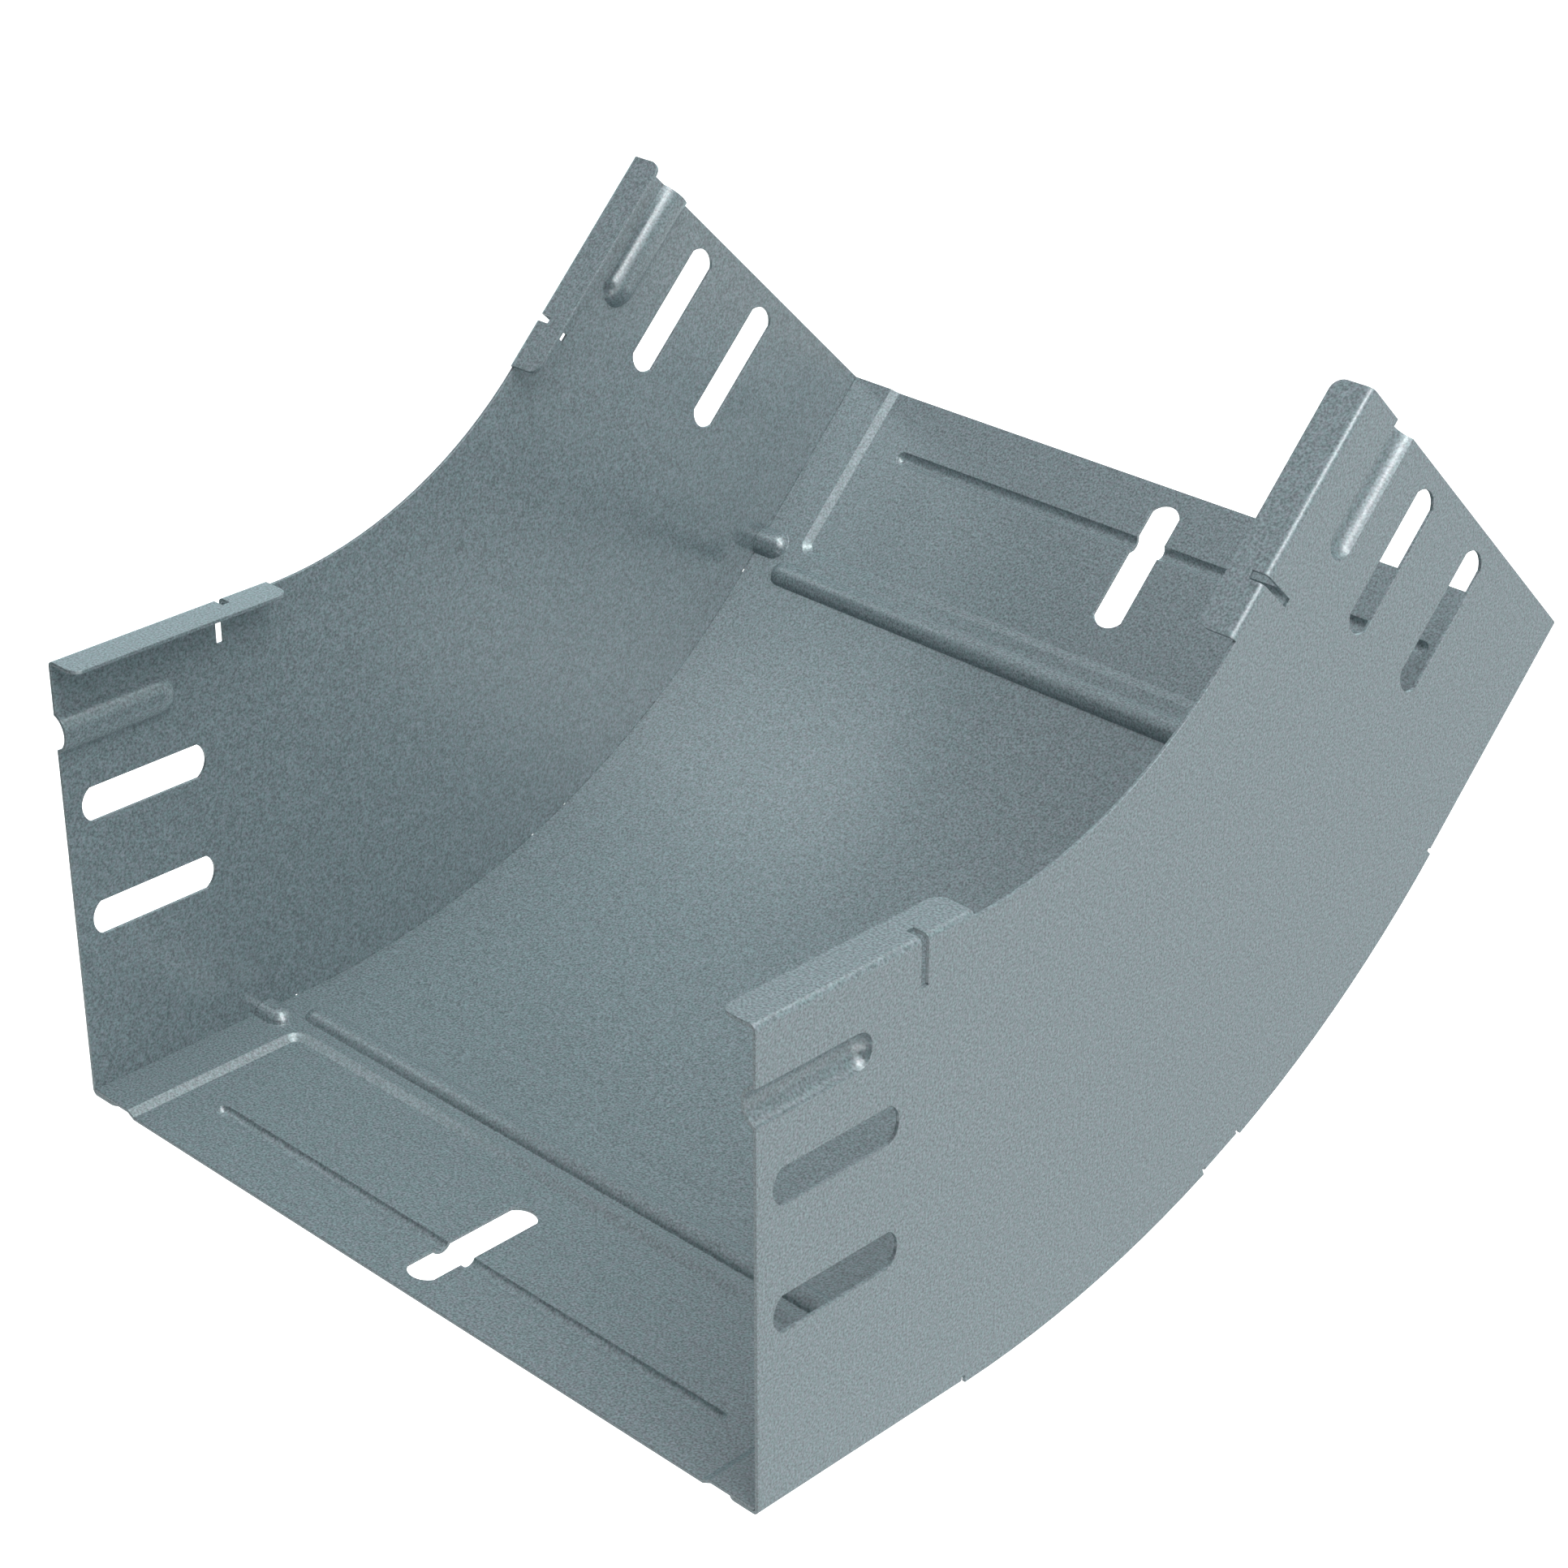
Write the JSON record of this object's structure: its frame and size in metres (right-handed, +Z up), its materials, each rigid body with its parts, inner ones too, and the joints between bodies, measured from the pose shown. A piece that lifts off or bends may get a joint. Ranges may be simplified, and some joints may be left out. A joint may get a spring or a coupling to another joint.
{
  "type": "cable tray bend",
  "caption": "Upward-curving sheet-steel bend for cable tray, with tall side walls, folded flanges, coupling slots at the ends and a pressed floor.",
  "frame": {"origin": "middle of the near end, level with the underside of the bottom flanges", "axes": "+Y along the near straight into the bend, +Z up, +X across the tray"},
  "size_m": [0.2148, 0.2528, 0.184],
  "materials": {
    "galvanised_steel": "matte galvanised"
  },
  "bodies": {
    "root": {"floor_plate": "galvanised_steel", "right_side_wall": "galvanised_steel", "left_side_wall": "galvanised_steel"}
  },
  "joints": []
}
